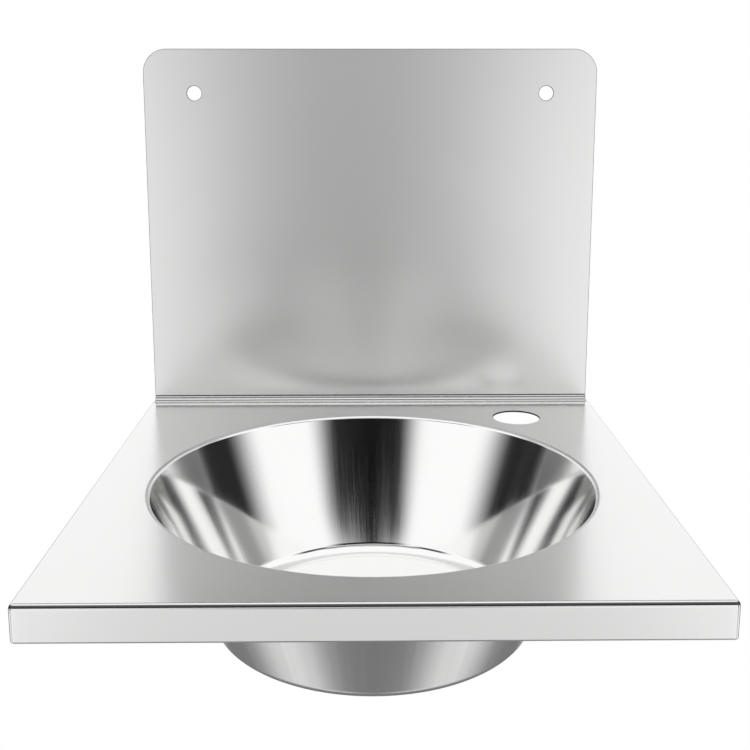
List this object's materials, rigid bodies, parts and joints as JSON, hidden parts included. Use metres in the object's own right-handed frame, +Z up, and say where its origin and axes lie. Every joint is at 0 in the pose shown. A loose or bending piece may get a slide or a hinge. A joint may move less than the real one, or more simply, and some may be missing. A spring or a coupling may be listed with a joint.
{
  "type": "hand wash sink",
  "caption": "Wall-hung stainless steel hand wash sink: folded deck with aprons and splashback, round tapered bowl, tap hole and strainer waste.",
  "frame": {"origin": "on the wall face of the splashback, midway between its two screw holes", "axes": "+X to the right seen from the front, +Y into the wall, +Z up"},
  "size_m": [0.35, 0.3532, 0.4047],
  "materials": {
    "satin_steel": "satin, grained one way",
    "polished_steel": "polished",
    "gasket_rubber": "matt",
    "waste_plastic": "moulded, matt",
    "insert_brass": "machined"
  },
  "bodies": {
    "root": {"folded_body": "satin_steel", "bowl": "polished_steel", "strainer_flange": "polished_steel", "strainer_screw": "polished_steel", "flange_gasket": "gasket_rubber", "body_gasket": "gasket_rubber", "waste_body": "waste_plastic", "screw_insert": "insert_brass"}
  },
  "joints": []
}
